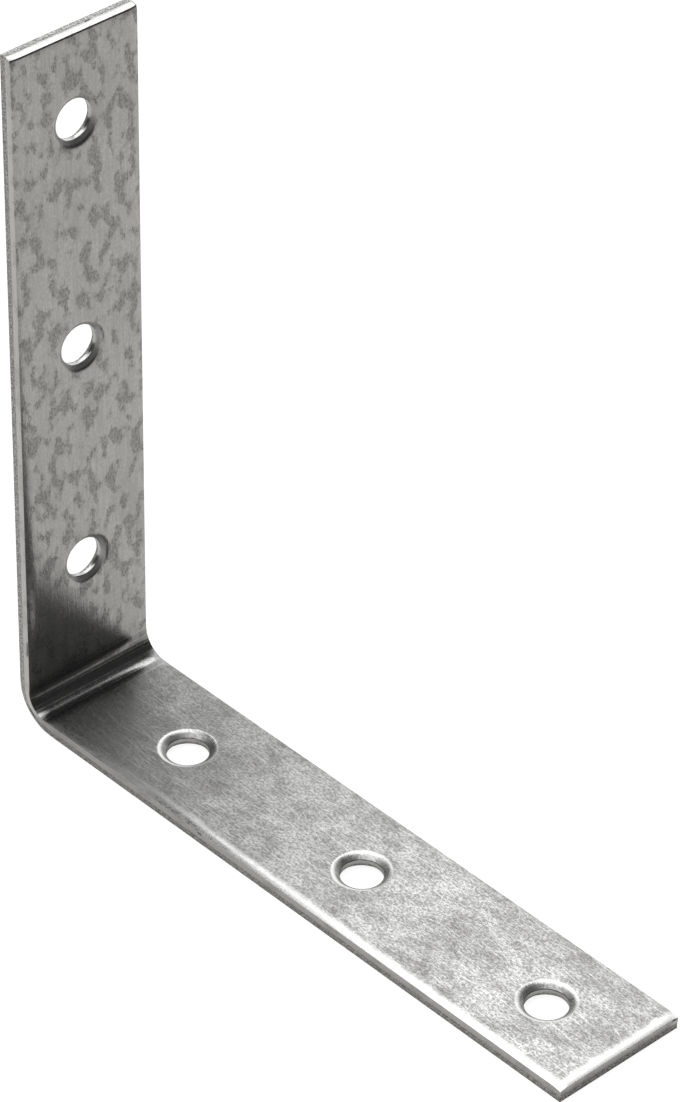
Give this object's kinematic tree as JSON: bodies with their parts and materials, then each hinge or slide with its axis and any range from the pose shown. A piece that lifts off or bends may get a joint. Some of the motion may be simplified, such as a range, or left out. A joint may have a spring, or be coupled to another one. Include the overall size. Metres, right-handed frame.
{
  "type": "corner brace bracket",
  "caption": "Flat metal strip folded to a right angle, with a line of countersunk screw holes in each equal leg, for joining two members at a corner.",
  "frame": {"origin": "centre of the bounding box in plan, at the height of the outside face of the leg that lies flat", "axes": "+X along the leg that lies flat, away from the fold; +Z along the leg that stands; Y across the strip, which is symmetric about Y = 0"},
  "size_m": [0.1, 0.02, 0.1],
  "materials": {
    "zinc": "zinc-plated rolled steel, satin, with rolling grain and faint blotches"
  },
  "bodies": {
    "root": {"bracket": "zinc"}
  },
  "joints": []
}
